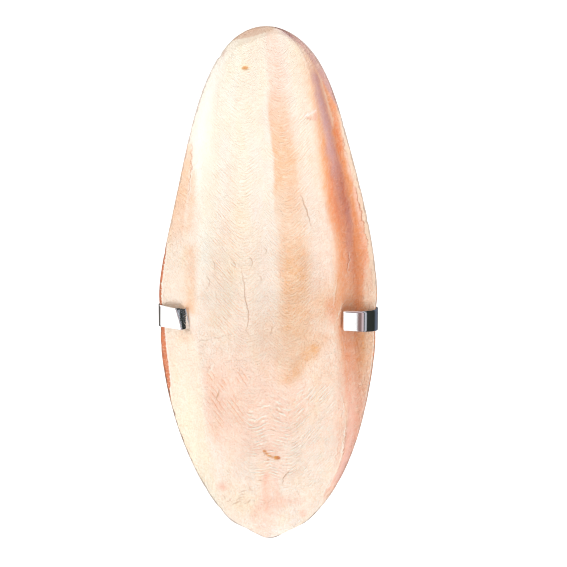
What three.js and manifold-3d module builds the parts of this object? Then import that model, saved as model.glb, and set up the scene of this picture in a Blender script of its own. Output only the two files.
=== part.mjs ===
// A cuttlebone in a bent metal holder, lying on its back with the chalky ventral side up.
// Millimetres. +X across the bone, +Y along it towards the blunt end, +Z up out of the ventral side.
// The origin is the middle of the footprint, on the surface that the holder's strap lies on.
import * as THREE from "three";
import { mergeVertices } from "three/addons/utils/BufferGeometryUtils.js";
import Module from "manifold-3d";

const wasm = await Module();
wasm.setup();

// The bone's outline
const boneLength = 160;
const halfLength = boneLength / 2;
const halfWidth = 33.6; // at the widest place
const widestAt = -3; // Y of the widest place
const bluntWaist = 0.115; // share by which the sides are drawn in towards the blunt end
const waistPower = 1.3; // above 1 moves that waist towards the blunt end
const tipPower = 0.53; // above 0.5 gives the narrow end its pointed outline
const tipNub = { share: 0.3, from: -74, to: -79.5 }; // the last few millimetres are drawn in
const holderPinch = { share: 0.012, reach: 6 }; // the rim is worn in under the strip

// Where the middle of the outline wanders from side to side
const wander = [
  { y: 25, reach: 18, by: 0.5 },
  { y: -60, reach: 20, by: 0.6 },
  { y: 80, reach: 6, by: -0.4 },
];

// The thin wing all round: the height of its edge, and half its thickness there
const rim = { atMiddle: 10, atEnds: 7.6, half: 0.5 };

// The line of the highest points, as Y and Z, from the narrow end to the blunt end
const crestLine = [
  [-80, 8.3],
  [-76, 10.2],
  [-70, 12.2],
  [-60, 14.7],
  [-45, 17.3],
  [-25, 19.1],
  [0, 19.5],
  [25, 18.6],
  [50, 16.6],
  [68, 14.4],
  [80, 12.4],
];
const crown = 0.11; // share by which the top falls from its middle to its sides

// The top ends at a crest on either side. On the right a steep side drops from it to a foot,
// with a valley and the raised wing beyond. On the left one long slope reaches the wing.
// These are shares of the half width: at mid length, then what is added over a stretch of Y
// towards the blunt end, and towards the narrow end, where the steep side moves out to the rim.
const rightCrest = { middle: 0.58, blunt: { add: 0.16, y: [52, 78] }, narrow: { add: 0.25, y: [-8, -55] } };
const rightFoot = { middle: 0.735, blunt: { add: 0.06, y: [52, 78] }, narrow: { add: 0.24, y: [-8, -50] } };
const leftCrest = { middle: 0.52, blunt: { add: 0.25, y: [0, 90] }, narrow: { add: 0.04, y: [-35, -55] } };
const leftFoot = 0.97;
const wing = { from: -34, to: -12, lift: 0.7 }; // raised beside the valley, above these Y
const valley = { beyondFoot: 0.035, reach: 0.06, depth: 0.9, blunt: [76, 60] };

// Shallow furrows along the top: X, half width, depth, and the Y over which each one fades in
const furrows = [
  { x: 4.7, reach: 3.2, depth: 0.8, from: -28, to: 5 },
  { x: -6.4, reach: 3.6, depth: 0.4, from: -20, to: 10 },
];
const tipFurrow = { x: -0.7, reach: 1.9, depth: 0.6, y: -63, length: 6 };

// The keel of the dorsal side: it touches the surface at y and rises to both ends
const keel = { y: 26, riseBlunt: 6.6, riseNarrow: 8, power: 1.8 };
const dorsalPower = 2.3; // how the dorsal side curves up from the keel to the rim

// The worn corners of the blunt end: the body stops at these lines, and the wing reaches past them
const wornCorners = [
  [-13.4, 69.5],
  [-8.9, 74.1],
  [1.7, 78.2],
  [5.5, 77.0],
  [9.6, 73.2],
  [12.9, 67.4],
];
const endFaceRun = 2.6;

// Damage in the ventral side. Places, routes and corners are X and Y.
const pits = [
  { x: -6.4, y: 68.1, size: [1.1, 0.75, 1.2] },
  { x: -0.6, y: -49.4, size: [1.0, 0.8, 1.1] },
  { x: 2.7, y: -50.9, size: [1.2, 0.9, 1.3] },
];
const crackSize = { width: 0.7, depth: 0.6, above: 0.5 };
const cracks = [
  [[9.9, 31.1], [11.6, 26.0], [13.3, 20.7]],
  [[-7.9, 9.3], [-6.5, -0.7], [-5.7, -6.3], [-6.5, -10.0], [-5.3, -12.2]],
];
const chip = { corners: [[10.4, 53.5], [15.2, 52.0], [15.0, 55.3]], depth: 0.7, above: 3 };

// The holder: one strip, flat across the back, bent up round both rims and over the wings
const strip = { width: 6.8, thickness: 0.5, y: -8, skew: -0.018 };
const seatGap = 0.3; // between strip and bone, all round
const tab = { taper: 0.11, length: 9, above: 11 }; // a free end narrows towards its tip
const backFlatHalf = 14;
const leftSide = { x: -33.3, foldZ: 14.5, tabZ: 15.2, tabEnd: -24.6 };
const rightSide = { x: 33.5, z: 9.4, bend: 4.6, tabEnd: 22.9 };

// Divisions of the meshes
const ventralColumns = 44;
const dorsalColumns = 24;
const rows = 62;
const rowPower = 1.3; // above 1 sets the rows closer together at the two ends
const stripSteps = 72;

const clamp01 = (t) => Math.min(1, Math.max(0, t));

// A smooth step from 0 at a to 1 at b, which may lie below a
function ease(a, b, at) {
  const t = clamp01((at - a) / (b - a));
  return t * t * (3 - 2 * t);
}

// A rounded hill of height 1
const hill = (at, middle, reach) => Math.exp(-(((at - middle) / reach) ** 2));

// A smooth height at a place between stations, each a place and its height
function through(stations, at) {
  const last = stations.length - 1;
  let i = 0;
  while (i < last - 1 && at > stations[i + 1][0]) i += 1;
  const [a, b] = [stations[i], stations[i + 1]];
  const before = stations[Math.max(0, i - 1)];
  const after = stations[Math.min(last, i + 2)];
  const span = b[0] - a[0];
  const t = clamp01((at - a[0]) / span);
  const slopeA = ((b[1] - before[1]) / (b[0] - before[0])) * span;
  const slopeB = ((after[1] - a[1]) / (after[0] - a[0])) * span;
  return (
    a[1] * (1 + 2 * t) * (1 - t) ** 2 +
    slopeA * t * (1 - t) ** 2 +
    b[1] * t * t * (3 - 2 * t) +
    slopeB * t * t * (t - 1)
  );
}

// Half the width of the bone at y: an ellipse that is drawn in towards the blunt end,
// and a slightly pointed curve that ends in a small nub at the narrow end
function halfWidthAt(y) {
  const pinch = 1 - holderPinch.share * hill(y, strip.y, holderPinch.reach);
  if (y > widestAt) {
    const s = clamp01((y - widestAt) / (halfLength - widestAt));
    const waist = 1 - bluntWaist * Math.sin(Math.PI * s ** waistPower);
    return halfWidth * Math.sqrt(1 - s * s) * waist * pinch;
  }
  const s = clamp01((widestAt - y) / (halfLength + widestAt));
  const nub = 1 - tipNub.share * ease(tipNub.from, tipNub.to, y);
  return halfWidth * (1 - s * s) ** tipPower * nub * pinch;
}

const middleAt = (y) => wander.reduce((sum, bend) => sum + bend.by * hill(y, bend.y, bend.reach), 0);
const shareAt = (x, y) => (x - middleAt(y)) / halfWidthAt(y);
const rimAt = (y) => THREE.MathUtils.lerp(rim.atMiddle, rim.atEnds, (y / halfLength) ** 2);

function keelAt(y) {
  const t = y > keel.y ? (y - keel.y) / (halfLength - keel.y) : (keel.y - y) / (halfLength + keel.y);
  return (y > keel.y ? keel.riseBlunt : keel.riseNarrow) * t ** keel.power;
}

// Where a crest or foot runs at y
const lineAt = ({ middle, blunt, narrow }, y) =>
  middle + blunt.add * ease(...blunt.y, y) + narrow.add * ease(...narrow.y, y);

// How far a point of the ventral side is inside the worn corner lines
function insideWornCorners(x, y) {
  let inside = Infinity;
  for (let i = 0; i + 1 < wornCorners.length; i += 1) {
    const [ax, ay] = wornCorners[i];
    const [bx, by] = wornCorners[i + 1];
    const length = Math.hypot(bx - ax, by - ay);
    inside = Math.min(inside, ((by - ay) * (x - ax) - (bx - ax) * (y - ay)) / length);
  }
  return inside;
}

function furrowDepth(x, y) {
  let depth = tipFurrow.depth * hill(x, tipFurrow.x, tipFurrow.reach) * hill(y, tipFurrow.y, tipFurrow.length);
  for (const furrow of furrows) {
    depth += furrow.depth * hill(x, furrow.x, furrow.reach) * ease(furrow.from, furrow.to, y);
  }
  return depth;
}

// Height of the ventral side over the point at share q of the half width
function ventralAt(q, y) {
  const x = middleAt(y) + q * halfWidthAt(y);
  const rimTop = rimAt(y) + rim.half;
  const foot = lineAt(rightFoot, y);
  const right = 1 - ease(lineAt(rightCrest, y), foot, q);
  const left = 1 - ease(lineAt(leftCrest, y), leftFoot, -q);
  const endFace = ease(-endFaceRun, 0, insideWornCorners(x, y));
  const body = (through(crestLine, y) - rimTop) * right * left * (1 - crown * q * q);
  const valleyAt = foot + valley.beyondFoot;
  const valleyCut = valley.depth * hill(q, valleyAt, valley.reach) * ease(...valley.blunt, y);
  const beside = (wing.lift * ease(valleyAt, 1, q) - valleyCut) * ease(wing.from, wing.to, y);
  return rimTop + (body - furrowDepth(x, y)) * endFace + beside;
}

const dorsalAt = (q, y) => THREE.MathUtils.lerp(keelAt(y), rimAt(y) - rim.half, Math.abs(q) ** dorsalPower);
const surfacePoint = ([x, y]) => new THREE.Vector3(x, y, ventralAt(shareAt(x, y), y));

// A closed mesh as a solid for cutting, and back
function solidOf(geometry) {
  geometry.deleteAttribute("normal");
  geometry.deleteAttribute("uv");
  const merged = mergeVertices(geometry, 1e-3);
  return new wasm.Manifold(
    new wasm.Mesh({
      numProp: 3,
      vertProperties: merged.attributes.position.array,
      triVerts: new Uint32Array(merged.index.array),
    }),
  );
}

function geometryOf(solid) {
  const mesh = solid.getMesh();
  const geometry = new THREE.BufferGeometry();
  geometry.setAttribute("position", new THREE.BufferAttribute(mesh.vertProperties, 3));
  geometry.setIndex(new THREE.BufferAttribute(mesh.triVerts, 1));
  geometry.computeVertexNormals();
  return geometry;
}

// The bone starts as a sphere with its poles at the two ends. Its meridians run along the bone,
// more of them over the ventral side, and each point goes to its place on the bone.
function boneForm() {
  const columns = ventralColumns + dorsalColumns;
  const form = new THREE.SphereGeometry(1, columns, rows);
  const place = form.attributes.position;
  for (let i = 0; i < place.count; i += 1) {
    const column = i % (columns + 1);
    const row = Math.floor(i / (columns + 1));
    const fromEnd = 1 - Math.abs(1 - (2 * row) / rows);
    const y = Math.sign(rows / 2 - row) * halfLength * (1 - fromEnd ** rowPower);
    if (row === 0 || row === rows) {
      place.setXYZ(i, middleAt(y), y, rimAt(y));
      continue;
    }
    const ventral = column <= ventralColumns;
    const across = ventral ? column / ventralColumns : (column - ventralColumns) / dorsalColumns;
    const q = Math.cos(Math.PI * across) * (ventral ? -1 : 1);
    const fromRim = Math.min(halfWidthAt(y) * (1 - Math.abs(q)), halfLength - Math.abs(y));
    const rounding = Math.sqrt(1 - (1 - clamp01(fromRim / rim.half)) ** 2);
    const side = ventral ? ventralAt(q, y) : dorsalAt(q, y);
    place.setXYZ(i, middleAt(y) + q * halfWidthAt(y), y, THREE.MathUtils.lerp(rimAt(y), side, rounding));
  }
  return solidOf(form);
}

function pitCutter({ x, y, size }) {
  const cutter = new THREE.SphereGeometry(1, 10, 6);
  cutter.scale(...size);
  cutter.translate(...surfacePoint([x, y]));
  return solidOf(cutter);
}

// A groove with a pointed bottom that follows the surface and runs out at both ends.
// It starts as an upright four-sided rod, whose length becomes the route.
function crackCutter(route) {
  const line = new THREE.CatmullRomCurve3(route.map(surfacePoint));
  const cutter = new THREE.CylinderGeometry(1, 1, 1, 4, 6);
  const place = cutter.attributes.position;
  const point = new THREE.Vector3();
  for (let i = 0; i < place.count; i += 1) {
    point.fromBufferAttribute(place, i);
    const along = clamp01(0.5 - point.y);
    const on = line.getPointAt(along);
    const narrowing = 0.25 + 0.75 * Math.sin(Math.PI * along);
    const side = (point.x * crackSize.width * narrowing) / 2;
    const up = Math.abs(point.z) * (point.z > 0 ? crackSize.above : -crackSize.depth);
    place.setXYZ(i, on.x + side, on.y, on.z + up);
  }
  return solidOf(cutter);
}

// A three-cornered flake that broke off the right crest
function chipCutter() {
  const outline = new THREE.Shape(chip.corners.map(([x, y]) => new THREE.Vector2(x, y)));
  const depth = chip.depth + chip.above;
  const cutter = new THREE.ExtrudeGeometry(outline, { depth, steps: 1, bevelEnabled: false });
  cutter.translate(0, 0, surfacePoint(chip.corners[0]).z - chip.depth);
  return solidOf(cutter);
}

// The middle line of the strip, seen along Y, from the left tab's free end to the right tab's
function stripLine() {
  const level = strip.thickness / 2;
  const { x: leftX, foldZ, tabZ, tabEnd: leftEnd } = leftSide;
  const { x: rightX, z: rightZ, bend, tabEnd: rightEnd } = rightSide;
  const line = new THREE.Path();
  line.moveTo(leftEnd, tabZ);
  line.lineTo(leftEnd - 1.8, tabZ);
  line.quadraticCurveTo(leftEnd - 2.8, tabZ, leftEnd - 3.6, foldZ);
  line.lineTo(leftX + 1.4, foldZ - 2.9);
  line.quadraticCurveTo(leftX, foldZ - 4, leftX, foldZ - 5.3);
  line.quadraticCurveTo(leftX, foldZ - 6.9, leftX + 1.9, foldZ - 8);
  line.bezierCurveTo(-26, 3.3, -20, level, -backFlatHalf, level);
  line.lineTo(backFlatHalf, level);
  line.bezierCurveTo(20, level, 26, 3.1, rightX - 1.9, rightZ - 3.1);
  line.quadraticCurveTo(rightX, rightZ - 1.9, rightX, rightZ);
  line.absarc(rightX - bend, rightZ, bend, 0, Math.PI / 2, false);
  line.lineTo(rightEnd, rightZ + bend);
  return line;
}

// The strip as a solid of a given thickness and width, running past both ends of its line
function stripForm(thickness, width, beyond) {
  const line = stripLine();
  const inner = [];
  const outer = [];
  for (let i = 0; i <= stripSteps; i += 1) {
    const on = line.getPointAt(i / stripSteps);
    const along = line.getTangentAt(i / stripSteps);
    if (i === 0) on.addScaledVector(along, -beyond);
    if (i === stripSteps) on.addScaledVector(along, beyond);
    const across = new THREE.Vector2(along.y, -along.x).multiplyScalar(thickness / 2);
    inner.push(on.clone().sub(across));
    outer.push(on.clone().add(across));
  }
  const section = new THREE.Shape([...inner, ...outer.reverse()]);
  const form = new THREE.ExtrudeGeometry(section, { depth: width, steps: 1, bevelEnabled: false });
  const place = form.attributes.position;
  for (let i = 0; i < place.count; i += 1) {
    const [x, z, across] = [place.getX(i), place.getY(i), place.getZ(i)];
    const towardsEnd = z > tab.above ? clamp01((halfWidth - Math.abs(x)) / tab.length) : 0;
    const side = (across - width / 2) * (1 - tab.taper * towardsEnd);
    place.setXYZ(i, x, strip.y + strip.skew * x - side, z);
  }
  return solidOf(form);
}

function named(name, solid, material) {
  const mesh = new THREE.Mesh(geometryOf(solid), material);
  mesh.name = name;
  return mesh;
}

// The bone has a seat where the strip grips it, and its pits, cracks and chip are cut in
function cuttlebone() {
  const chalk = new THREE.MeshStandardMaterial({ color: 0xf4dccb, roughness: 0.85, metalness: 0 });
  const seat = stripForm(strip.thickness + 2 * seatGap, strip.width + 2 * seatGap, seatGap);
  let bone = boneForm().subtract(seat).subtract(chipCutter());
  for (const pit of pits) bone = bone.subtract(pitCutter(pit));
  for (const route of cracks) bone = bone.subtract(crackCutter(route));
  return named("cuttlebone", bone, chalk);
}

function holderStrip() {
  const brightSteel = new THREE.MeshStandardMaterial({ color: 0xc9cbcd, roughness: 0.15, metalness: 1 });
  return named("holder_strip", stripForm(strip.thickness, strip.width, 0), brightSteel);
}

const part = new THREE.Group();
part.name = "cuttlebone_in_holder";
part.add(cuttlebone(), holderStrip());

export default part;
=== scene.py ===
import math

import bmesh
import bpy
import numpy as np
from mathutils import Matrix, Vector, noise
from mathutils.geometry import interpolate_bezier


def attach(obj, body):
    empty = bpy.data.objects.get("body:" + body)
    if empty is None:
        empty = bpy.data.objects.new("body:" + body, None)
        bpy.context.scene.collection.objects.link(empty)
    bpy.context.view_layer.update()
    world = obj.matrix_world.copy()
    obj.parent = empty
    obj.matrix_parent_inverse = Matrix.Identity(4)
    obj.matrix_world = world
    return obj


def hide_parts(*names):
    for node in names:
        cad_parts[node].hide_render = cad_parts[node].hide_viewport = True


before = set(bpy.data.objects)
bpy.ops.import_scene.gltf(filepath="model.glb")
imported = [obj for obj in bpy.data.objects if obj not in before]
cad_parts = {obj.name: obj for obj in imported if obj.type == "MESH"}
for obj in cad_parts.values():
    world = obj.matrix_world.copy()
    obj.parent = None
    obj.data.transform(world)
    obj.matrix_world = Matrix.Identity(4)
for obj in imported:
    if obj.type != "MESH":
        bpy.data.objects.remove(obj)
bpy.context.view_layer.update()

# A cuttlebone on its back, held by a bent strip of nickel-plated steel. Shape values are in
# millimetres: X across the bone, Y along it towards the blunt end, Z up out of the chalky side.
mm = 0.001
print("frame loaded")


def ease(start, end, at):
    t = np.clip((at - start) / (end - start), 0, 1)
    return t * t * (3 - 2 * t)


def hill(at, middle, reach):
    return np.exp(-(((at - middle) / reach) ** 2))


def between(low, high, share):
    return low + (high - low) * share


# A value read off straight lines between stations, each a place and its value
def along(stations, at):
    places, values = zip(*stations)
    return np.interp(at, places, values)


# A smooth curve through stations
def through(stations, at):
    places, values = (np.array(side, float) for side in zip(*stations))
    every = np.arange(len(places))
    before, after = np.maximum(every - 1, 0), np.minimum(every + 1, every[-1])
    slopes = (values[after] - values[before]) / (places[after] - places[before])
    i = np.clip(np.searchsorted(places, at, side="right") - 1, 0, every[-1] - 1)
    span = places[i + 1] - places[i]
    t = np.clip((at - places[i]) / span, 0, 1)
    level = between(values[i], values[i + 1], t * t * (3 - 2 * t))
    return level + span * t * (1 - t) * (slopes[i] * (1 - t) - slopes[i + 1] * t)


# Distance to a route, which side of it (positive is left of its direction), and how far along
def nearRoute(route, x, y):
    best = np.full(x.shape, 1e9)
    side = np.zeros(x.shape)
    share = np.zeros(x.shape)
    lengths = [math.dist(a, b) for a, b in zip(route, route[1:])]
    done = 0
    for (ax, ay), (bx, by), length in zip(route, route[1:], lengths):
        dx, dy = (bx - ax) / length, (by - ay) / length
        t = np.clip((x - ax) * dx + (y - ay) * dy, 0, length)
        gap = np.hypot(x - ax - t * dx, y - ay - t * dy)
        nearer = gap < best
        best = np.where(nearer, gap, best)
        side = np.where(nearer, np.sign(dx * (y - ay) - dy * (x - ax)), side)
        share = np.where(nearer, (done + t) / sum(lengths), share)
        done += length
    return best, side, share


# Even noise from -1 to 1 whose lumps are about size millimetres across
def lumps(x, y, z, size, octaves=2, shift=0.0):
    sides = (x / size + shift, y / size, z / size)
    places = zip(*(np.broadcast_to(side, x.shape).tolist() for side in sides))
    return np.array([noise.fractal(place, 1.0, 2.0, octaves) for place in places])


# A value with soft changes to it, each a gain and the Y where it starts and ends
def stepped(steps, y):
    value, *changes = steps
    return value + sum(gain * ease(start, end, y) for gain, start, end in changes)


# What soft limits on X and on Y leave of 1. Each runs from where nothing is left to where all is.
def within(limits, x, y):
    left = np.ones(x.shape)
    for pairs, place in zip(limits, (x, y)):
        for nothing, everything in pairs:
            left *= ease(nothing, everything, place)
    return left


# How far a place is on the right hand of a row of corners, seen along it
def rightOf(corners, x, y):
    least = np.full(x.shape, 1e9)
    for (ax, ay), (bx, by) in zip(corners, corners[1:]):
        gap = ((by - ay) * (x - ax) - (bx - ax) * (y - ay)) / math.hypot(bx - ax, by - ay)
        least = np.minimum(least, gap)
    return least


bone = {
    "halfLength": 80.0,
    "halfWidth": 33.6,
    "widestAt": -3.0,
    "bluntWaist": 0.115,  # the sides are drawn in towards the blunt end
    "waistPower": 1.3,
    "tipPower": 0.53,  # above 0.5 points the narrow end
    "tipNub": {"share": 0.3, "start": -74.0, "end": -79.5},
    "holderPinch": {"y": -8.0, "share": 0.02, "reach": 6.0},
    "wander": [(25, 18, 0.5), (-60, 20, 0.6), (80, 6, -0.4)],  # Y, reach, sideways
    "rimHeight": {"middle": 10.0, "ends": 7.6},
    "rimHalf": 0.5,
    "crestLine": [(-80, 8.3), (-76, 10.2), (-70, 12.2), (-60, 14.7), (-45, 17.3), (-25, 19.1),
                  (0, 19.5), (25, 18.6), (50, 16.6), (68, 14.4), (80, 12.4)],
    # where the sides of the chalky part start and end, as stepped shares of the half width
    "rightCrest": [0.58, (0.16, 52, 78), (0.25, -8, -55)],
    "rightFoot": [0.735, (0.06, 52, 78), (0.24, -8, -50)],
    "leftCrest": [0.52, (0.25, 0, 90), (0.04, -35, -55)],
    "leftFoot": 0.97,
    # a valley beyond the steep right side, and a flange that rises from it to the rim
    "valley": {"fromFoot": 0.035, "depth": 0.9, "reach": 0.06, "fades": (76, 60)},
    "flange": {"rise": 0.7, "grows": (-34, -12)},
    "crown": 0.11,
    "tipFurrow": {"x": -0.7, "reach": 1.9, "depth": 0.6, "y": -63, "length": 6},
    "furrows": [{"x": 4.7, "reach": 3.2, "depth": 0.8, "start": -28, "end": 5},
                {"x": -6.4, "reach": 3.6, "depth": 0.4, "start": -20, "end": 10}],
    "wornCorners": [(-13.4, 69.5), (-8.9, 74.1), (1.7, 78.2), (5.5, 77.0), (9.6, 73.2), (12.9, 67.4)],
    "endFaceRun": 2.6,
    "tanLine": [(-10.6, 75.75), (-4.5, 77.0), (1.6, 79.0)],  # the end face is tan above it
    "keel": {"y": 26, "riseBlunt": 6.6, "riseNarrow": 8.0, "power": 1.8},
    "dorsalPower": 2.3,
    # the hard back: ribs (share of the half width, reach, height), arcs, and lumps (size, height)
    "ribs": [(0, 0.1, 0.28), (0.36, 0.07, 0.196), (-0.36, 0.07, 0.196)],
    "ribsGrow": (-70, -20),
    "arcs": {"height": 0.05, "sweep": 0.02, "pitch": 4.6},
    "pimples": (1.7, 0.16),
    "swells": (14.0, 0.25),
    "strapDent": {"depth": 0.9, "reach": 5.0},
    # the sheet that is wrapped round into the bone
    "columns": 120,
    "rows": 120,
    "chalkyShare": 0.6,  # share of the columns that run over the chalky side
    "columnSpread": 0.5,
    "rowPower": 1.3,
    "stripedPart": {"x": (-17.5, 14.5), "y": (-58, 70)},
}
halfLength = bone["halfLength"]


def middleAt(y):
    return sum(by * hill(y, at, reach) for at, reach, by in bone["wander"])


# How far a place lies beyond a start, towards the blunt end and towards the narrow end, from 0 to 1
def endShares(start, y):
    away = y - start
    return np.clip(away / (halfLength - start), 0, 1), np.clip(-away / (halfLength + start), 0, 1)


def halfWidthAt(y):
    pinch = bone["holderPinch"]
    nub = bone["tipNub"]
    widest = bone["widestAt"]
    up, down = endShares(widest, y)
    blunt = np.sqrt(1 - up * up) * (1 - bone["bluntWaist"] * np.sin(math.pi * up ** bone["waistPower"]))
    blunter = 1 - nub["share"] * ease(nub["start"], nub["end"], y)
    narrow = (1 - down * down) ** bone["tipPower"] * blunter
    drawnIn = 1 - pinch["share"] * hill(y, pinch["y"], pinch["reach"])
    return bone["halfWidth"] * np.where(y > widest, blunt, narrow) * drawnIn


def rimAt(y):
    height = bone["rimHeight"]
    return between(height["middle"], height["ends"], (y / halfLength) ** 2)


def keelAt(y):
    keel = bone["keel"]
    blunt, narrow = endShares(keel["y"], y)
    return keel["riseBlunt"] * blunt ** keel["power"] + keel["riseNarrow"] * narrow ** keel["power"]


# Height of the chalky side at q, a share of the half width that is negative on the left
def chalkyAt(q, y):
    x = middleAt(y) + q * halfWidthAt(y)
    rimTop = rimAt(y) + bone["rimHalf"]
    foot = stepped(bone["rightFoot"], y)
    right = 1 - ease(stepped(bone["rightCrest"], y), foot, q)
    left = 1 - ease(stepped(bone["leftCrest"], y), bone["leftFoot"], -q)
    endFace = ease(-bone["endFaceRun"], 0, rightOf(bone["wornCorners"], x, y))
    tip = bone["tipFurrow"]
    depth = tip["depth"] * hill(x, tip["x"], tip["reach"]) * hill(y, tip["y"], tip["length"])
    for furrow in bone["furrows"]:
        across = furrow["depth"] * hill(x, furrow["x"], furrow["reach"])
        depth = depth + across * ease(furrow["start"], furrow["end"], y)
    body = (through(bone["crestLine"], y) - rimTop) * right * left * (1 - bone["crown"] * q * q)
    valley = bone["valley"]
    flange = bone["flange"]
    valleyAt = foot + valley["fromFoot"]
    cut = valley["depth"] * hill(q, valleyAt, valley["reach"]) * ease(*valley["fades"], y)
    beside = (flange["rise"] * ease(valleyAt, 1, q) - cut) * ease(*flange["grows"], y)
    return rimTop + (body - depth) * endFace + beside


def dorsalAt(q, y):
    return between(keelAt(y), rimAt(y) - bone["rimHalf"], np.abs(q) ** bone["dorsalPower"])


# Relief of the chalky side, with routes as X and Y. Grooves: route, depth
grooves = [
    ([(-7.9, 9.3), (-7.1, 4), (-6.6, -0.7), (-5.8, -4.5), (-5.7, -6.8), (-6.5, -10), (-5.3, -12.2)],
     0.42),
    ([(9.7, 31.6), (10.7, 29), (11.6, 26), (13.3, 20.7)], 0.4),
    ([(1.5, -8.5), (1.2, -10), (0.9, -11.5)], 0.35),
    ([(-14.7, -28.6), (-15.1, -30.2), (-15.8, -32.2)], 0.4),
    ([(6.9, -54.8), (5.6, -56.6), (4.6, -58), (4.5, -60.6)], 0.5),
    ([(-3.3, -58.6), (-1.8, -58.9)], 0.45),
    ([(-5.8, 12.6), (-4.8, 11.6), (-4.5, 10.2), (-5, 8.9)], 0.34),
    ([(-11.4, 12.7), (-10.3, 11.4), (-9.7, 9.8), (-9.9, 8.2)], 0.28),
    ([(-18.3, 6.7), (-17.4, 5.2), (-17.6, 3.6), (-18.3, 2.6)], 0.3),
    ([(-16.3, 11.2), (-15.7, 10.2), (-15.7, 8.6)], 0.36),
    ([(-1.1, 15.2), (-0.4, 14.4), (-0.5, 13.2)], 0.36),
    ([(-2.7, 7), (-1.9, 6.2), (-1.9, 5.2)], 0.3),
    ([(-8.9, 28.3), (-7.6, 28.4), (-6.6, 28.1)], 0.2),
    ([(-15.1, -19.4), (-9.9, -19.5), (-4.5, -19.2)], 0.1),
    ([(-21.3, -13.5), (-18.8, -13.3), (-17.1, -12.6)], 0.22),
    ([(-14.4, -64.4), (-13.5, -65.3), (-13.7, -66.2)], 0.3),
    ([(-13.4, -67.2), (-12.2, -66.2), (-11.6, -65)], 0.34),
    ([(-11.5, -67.9), (-10.2, -66.7), (-8.4, -65.9)], 0.36),
    ([(-9.9, -65.6), (-8.6, -64.7), (-7.2, -64.4)], 0.3),
    ([(-9.2, -63.2), (-8, -62.4), (-6.3, -62.2)], 0.3),
    ([(-7.6, -67), (-6.2, -66.4), (-5.6, -65.2)], 0.36),
    ([(-5.9, -60.4), (-5.5, -61.8), (-4.7, -62.6)], 0.34),
    ([(16.9, -64.9), (18.3, -63.4), (19.6, -62)], 0.3),
    ([(17.8, -66.2), (19.2, -64.9)], 0.3),
    ([(11, -7.4), (12.2, -6.2), (12.9, -4.9)], 0.2),
    ([(2.2, 27.6), (3.6, 26.4), (4.7, 24.8)], 0.18),
    ([(3.2, 30.6), (4.1, 29.7)], 0.18),
    ([(-4.7, -76.3), (-5.8, -76.9)], 0.5),
]

# Ledges: route, height on its left hand, how far that height reaches
ledges = [
    ([(20.2, -57.6), (21.8, -54.6), (23, -50), (23.7, -44), (24.2, -38.5), (23.6, -34.5), (22.4, -30)],
     0.55, 2.2),
    ([(19.2, -56.5), (20.6, -52), (21.4, -47), (21.6, -43)], 0.22, 0.9),
    ([(22, -45.6), (22.5, -42), (22.3, -38.6)], 0.25, 0.7),
    ([(20.9, -39), (21.5, -35.6), (21.2, -32.4)], 0.22, 0.7),
    ([(17.6, -62.2), (18.8, -59.6), (19.3, -57.6)], 0.3, 0.8),
    ([(-17.1, -12.6), (-14.6, -12.3), (-12.6, -11.5), (-10.4, -11.4)], -0.2, 1.2),
    ([(-16.6, -20), (-17.8, -22.2), (-19.3, -23.9)], 0.22, 1.4),
    ([(-23.8, 45.4), (-22.7, 45.4), (-22.6, 41.1), (-23.1, 36), (-24.1, 28.5)], -0.3, 2.0),
    ([(-22, 38.2), (-19.4, 38.2), (-19.2, 41.5)], 0.14, 1.4),
    ([(19.8, -4), (20.4, 1.5), (21.3, 6.5)], -0.2, 0.8),
    ([(24.1, 13.2), (24.7, 10.5), (24.2, 7.6), (24.3, 4.6)], 0.25, 0.9),
    ([(21.1, -7.6), (22.6, -4.5), (23.4, -3.2)], 0.5, 1.6),
    ([(22.9, -14), (23.6, -21), (24.8, -28), (24.3, -33)], 0.2, 1.4),
]

# Narrow raised lines: route, half width, height
ridges = [
    ([(15.2, 67), (17, 60.5), (19.2, 53.4), (21, 45.6), (22.8, 38)], 0.3, 0.2),
    ([(21.9, 17.5), (22.8, 12), (23.3, 7)], 0.5, 0.2),
    ([(10.4, 29.6), (12.2, 25.2), (14, 20.6)], 0.3, 0.12),
]

# Pits: X, Y, half sizes, depth
pits = [(-6.4, 68.1, 1.05, 0.62, 0.5), (-0.7, -49.3, 0.75, 0.55, 0.5), (2.8, -50.9, 0.95, 0.75, 0.5),
        (1.0, -50.3, 1.3, 0.4, 0.3), (-0.2, -51.5, 0.45, 0.6, 0.25), (-12.6, 30.5, 0.3, 0.26, 0.3),
        (-15.3, 1.0, 0.55, 0.4, 0.4), (3.4, 41.9, 0.28, 0.22, 0.22), (-7.2, 34.4, 0.3, 0.22, 0.2)]

relief = {
    "chip": {"corners": [(10.4, 53.5), (15.0, 55.3), (15.2, 52.0), (10.4, 53.5)], "depth": 0.3},
    "lumps": [(11.0, 0.025), (4.2, 0.01), (1.7, 0.01)],  # size and height
    # the mesh takes a softened share of these, and the material adds the crisp part
    "softGroove": {"share": 0.5, "reach": 0.45},
    "softLedge": {"share": 0.8, "width": 0.3},
    "waves": {"high": 0.02, "low": 0.05, "slant": 0.02},
}

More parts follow.
